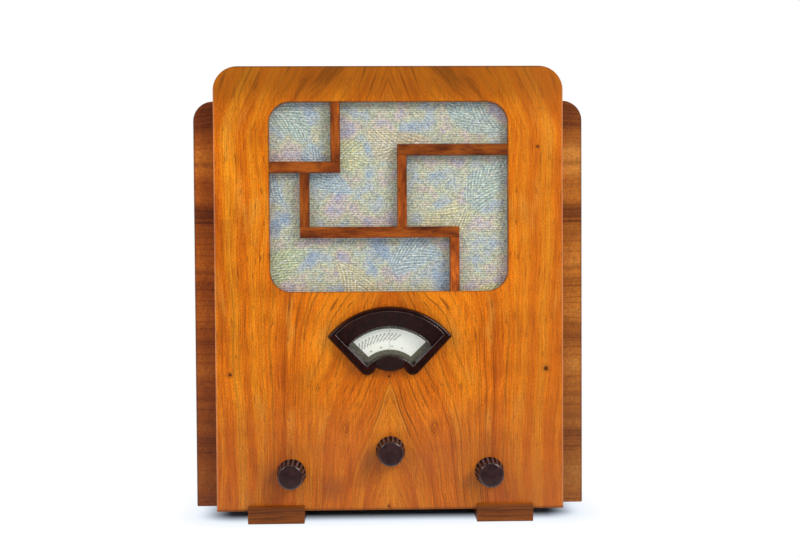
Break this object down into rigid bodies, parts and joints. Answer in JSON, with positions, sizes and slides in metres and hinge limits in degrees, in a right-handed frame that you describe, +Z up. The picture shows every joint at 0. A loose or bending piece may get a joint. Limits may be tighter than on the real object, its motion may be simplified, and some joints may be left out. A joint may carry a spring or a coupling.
{
  "type": "radio receiver",
  "caption": "Table radio receiver: walnut cabinet with side wings, stepped fret over a cloth grille, fan-shaped dial and three fluted knobs",
  "frame": {"origin": "on the table top, under the middle of the whole set", "axes": "+X to the listener's right, +Y from the front panel into the cabinet, +Z up"},
  "size_m": [0.405, 0.264, 0.471],
  "materials": {
    "front_veneer": "figured walnut veneer, French polished",
    "fret_walnut": "red-brown walnut strips, French polished",
    "shell_veneer": "walnut veneer, French polished",
    "wing_veneer": "dark cross-grain walnut veneer, polished",
    "foot_walnut": "polished walnut",
    "raw_softwood": "planed, unfinished",
    "raw_plywood": "unfinished plywood",
    "grille_brocade": "woven brocade",
    "fibre_board": "pressed fibre board",
    "screw_brass": "dull brass",
    "brown_bakelite": "moulded, polished",
    "black_bakelite": "moulded",
    "paxolin": "laminated paper board",
    "window_celluloid": "clear celluloid",
    "mask_paint": "grey-green enamel",
    "scale_celluloid": "translucent celluloid, printed",
    "hair_line": "fine wire",
    "lamp_glass": "clear glass",
    "valve_glass": "clear glass",
    "plated_steel": "zinc plated",
    "pan_steel": "grey stoved finish",
    "turned_brass": "turned",
    "vane_aluminium": "rolled sheet",
    "can_aluminium": "drawn can",
    "core_steel": "varnished laminations",
    "coil_wrap": "varnished paper wrap",
    "electrode_nickel": "nickel, matt",
    "cone_paper": "felted paper",
    "black_enamel": "black crackle enamel",
    "cable_rubber": "moulded"
  },
  "bodies": {
    "cabinet": {"front_panel": "front_veneer", "grille_fret": "fret_walnut", "cabinet_shell": "shell_veneer", "left_wing": "wing_veneer", "right_wing": "wing_veneer", "base_board": "raw_plywood", "left_foot": "foot_walnut", "right_foot": "foot_walnut", "corner_blocks": "raw_softwood", "back_battens": "raw_softwood", "baffle_board": "raw_plywood", "grille_cloth": "grille_brocade", "wood_screws": "screw_brass", "back_cover": "fibre_board", "escutcheon": "brown_bakelite", "dial_window": "window_celluloid", "dial_mask": "mask_paint", "index_wire": "hair_line", "lamp_bracket": "plated_steel", "dial_lamps": "lamp_glass", "volume_control": "black_bakelite", "wave_switch": "paxolin", "tuning_bush": "turned_brass", "spindle_nuts": "plated_steel", "chassis_pan": "pan_steel", "chassis_bolts": "plated_steel", "capacitor_frame": "plated_steel", "capacitor_stators": "vane_aluminium", "stator_bushes": "paxolin", "capacitor_pillars": "cable_rubber", "mains_transformer_core": "core_steel", "mains_transformer_coil": "coil_wrap", "output_transformer": "core_steel", "smoothing_cans": "can_aluminium", "coil_cans": "can_aluminium", "valve_sockets": "paxolin", "valve_bases": "black_bakelite", "valve_bulbs": "valve_glass", "valve_electrodes": "electrode_nickel", "valve_caps": "plated_steel", "tag_board": "paxolin", "socket_strip": "black_bakelite", "socket_tubes": "turned_brass", "mains_grommet": "cable_rubber", "speaker_basket": "black_enamel", "speaker_cone": "cone_paper", "speaker_magnet": "black_enamel", "speaker_bolts": "plated_steel"},
    "volume": {"volume_knob": "brown_bakelite", "volume_grub_screw": "plated_steel", "volume_spindle": "plated_steel"},
    "tuning": {"tuning_knob": "brown_bakelite", "tuning_grub_screw": "plated_steel", "tuning_spindle": "plated_steel"},
    "wave_change": {"wave_knob": "brown_bakelite", "wave_grub_screw": "plated_steel", "wave_spindle": "plated_steel"},
    "capacitor_shaft": {"capacitor_rotor": "vane_aluminium", "scale_hub": "turned_brass", "scale_disc": "scale_celluloid"}
  },
  "joints": [
    {"name": "volume_turn", "type": "hinge", "parent": "cabinet", "child": "volume", "pos_m": [-0.1027, -0.108, 0.0512], "axis": [0, 1, 0], "range_deg": [0, 270]},
    {"name": "wave_change_turn", "type": "hinge", "parent": "cabinet", "child": "wave_change", "pos_m": [0.1027, -0.108, 0.0512], "axis": [0, 1, 0], "range_deg": [0, 60]},
    {"name": "capacitor_turn", "type": "hinge", "parent": "cabinet", "child": "capacitor_shaft", "pos_m": [0, -0.108, 0.142], "axis": [0, 1, 0], "range_deg": [0, 180]},
    {"name": "tuning_turn", "type": "hinge", "parent": "cabinet", "child": "tuning", "pos_m": [0, -0.108, 0.074], "axis": [0, 1, 0], "range_deg": [-1572, 0]}
  ],
  "couplings": [
    {"joint": "tuning_turn", "follows": "capacitor_turn", "ratio": -8.7143}
  ]
}
